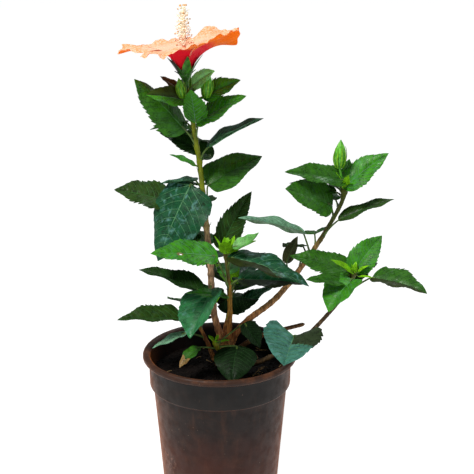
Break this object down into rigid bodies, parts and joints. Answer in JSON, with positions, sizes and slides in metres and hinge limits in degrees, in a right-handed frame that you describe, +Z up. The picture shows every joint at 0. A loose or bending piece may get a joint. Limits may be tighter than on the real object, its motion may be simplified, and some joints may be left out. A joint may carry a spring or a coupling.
{
  "type": "potted hibiscus shrub",
  "caption": "Young hibiscus shrub with several leafy stems, closed buds and an open orange bloom, standing in a round tapered plastic nursery pot.",
  "frame": {"origin": "centre of the pot's flat underside", "axes": "+Z up along the pot's axis, +X to the right and +Y to the back, with the bloom leaning over the front left"},
  "size_m": [0.3801, 0.2482, 0.6291],
  "materials": {
    "pot": "worn dark brown nursery plastic, dusty and a little glossy",
    "soil": "damp crumbly potting mix",
    "bark": "rough tan-brown bark",
    "green_bark": "smooth green young bark",
    "stalk": "smooth green leaf stalk",
    "leaf_mature": "glossy dark green leaf",
    "leaf_blue": "glossy blue-green leaf",
    "leaf_fresh": "glossy fresh green leaf",
    "leaf_young": "bright yellow-green young leaf",
    "leaf_olive": "satin olive leaf in its own shade",
    "leaf_vein": "pale green vein",
    "calyx": "satin green bud and calyx",
    "petal_pale": "soft pale peach petal",
    "petal_orange": "soft orange petal",
    "petal_throat": "soft crimson throat",
    "column": "pale cream column and anthers",
    "straw": "dry straw and twig scraps on the soil"
  },
  "bodies": {
    "root": {"pot": "pot", "soil": "soil", "crown": "bark", "tall_stem": "bark", "middle_stem": "bark", "right_limb": "bark", "low_right_limb": "bark", "cut_stub": "bark", "tall_stem_low_leaves": "leaf_mature", "tall_stem_middle_leaves": "leaf_blue", "tall_stem_high_leaves": "leaf_mature", "flower_head_leaves": "leaf_fresh", "middle_stem_leaves": "leaf_mature", "right_limb_leaves": "leaf_blue", "right_limb_top_leaves": "leaf_fresh", "low_right_leaves": "leaf_blue", "low_right_top_leaves": "leaf_fresh", "front_shoot_leaves": "leaf_mature", "left_shoot_leaves": "leaf_mature", "back_shoot_leaves": "leaf_mature", "bloom": "petal_pale"}
  },
  "joints": []
}
